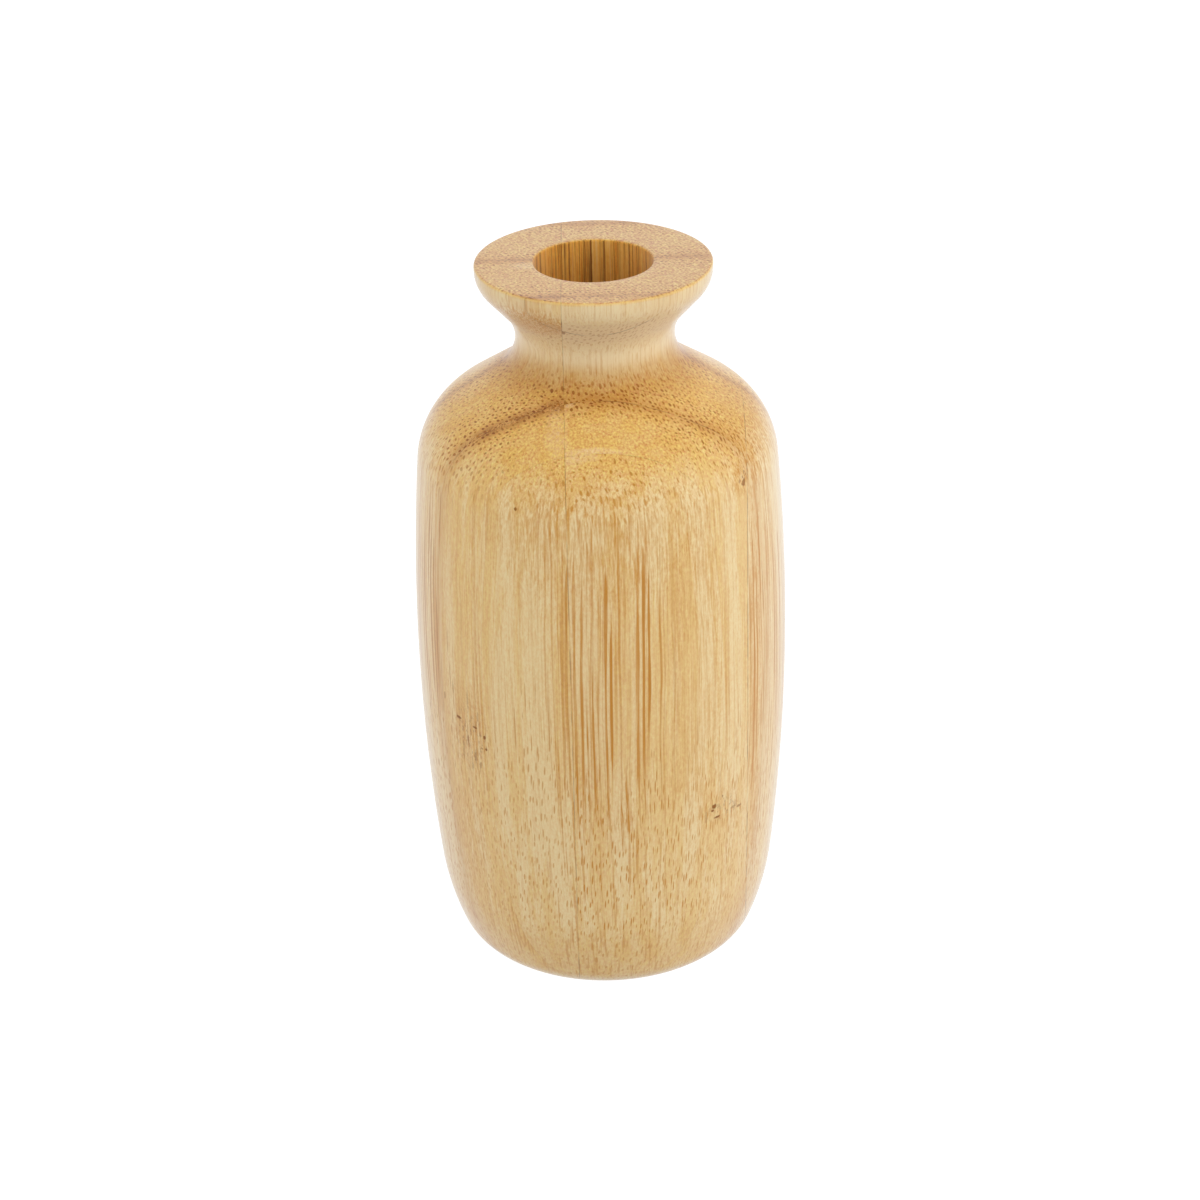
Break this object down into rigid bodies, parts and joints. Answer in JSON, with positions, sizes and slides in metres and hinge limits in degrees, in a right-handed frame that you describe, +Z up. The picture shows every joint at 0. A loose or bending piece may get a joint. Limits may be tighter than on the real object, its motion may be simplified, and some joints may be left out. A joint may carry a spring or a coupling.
{
  "type": "bamboo bud vase",
  "caption": "Small vase turned from laminated bamboo, with a barrelled body, tight neck, flared flat rim and a drilled bore for stems.",
  "frame": {"origin": "centre of the foot, where the vase's axis meets the surface that it stands on", "axes": "+Z up along the turned axis; the wide glue faces of the strips lie in planes of constant Y, with the pictured front towards -Y and +X to the right"},
  "size_m": [0.0616, 0.0616, 0.122],
  "materials": {
    "bamboo": "thin satin oil, fibres and glue joints open to view"
  },
  "bodies": {
    "root": {"left_back_strip_1": "bamboo", "left_back_strip_2": "bamboo", "left_back_strip_3": "bamboo", "left_back_strip_4": "bamboo", "left_front_strip_1": "bamboo", "left_front_strip_2": "bamboo", "left_front_strip_3": "bamboo", "left_front_strip_4": "bamboo", "middle_back_strip_1": "bamboo", "middle_back_strip_2": "bamboo", "middle_back_strip_3": "bamboo", "middle_back_strip_4": "bamboo", "middle_front_strip_1": "bamboo", "middle_front_strip_2": "bamboo", "middle_front_strip_3": "bamboo", "middle_front_strip_4": "bamboo", "right_back_strip_1": "bamboo", "right_back_strip_2": "bamboo", "right_back_strip_3": "bamboo", "right_front_strip_1": "bamboo", "right_front_strip_2": "bamboo", "right_front_strip_3": "bamboo", "rim_left_back_strip_3": "bamboo", "rim_left_front_strip_3": "bamboo", "rim_middle_back_strip_3": "bamboo", "rim_middle_front_strip_3": "bamboo"}
  },
  "joints": []
}
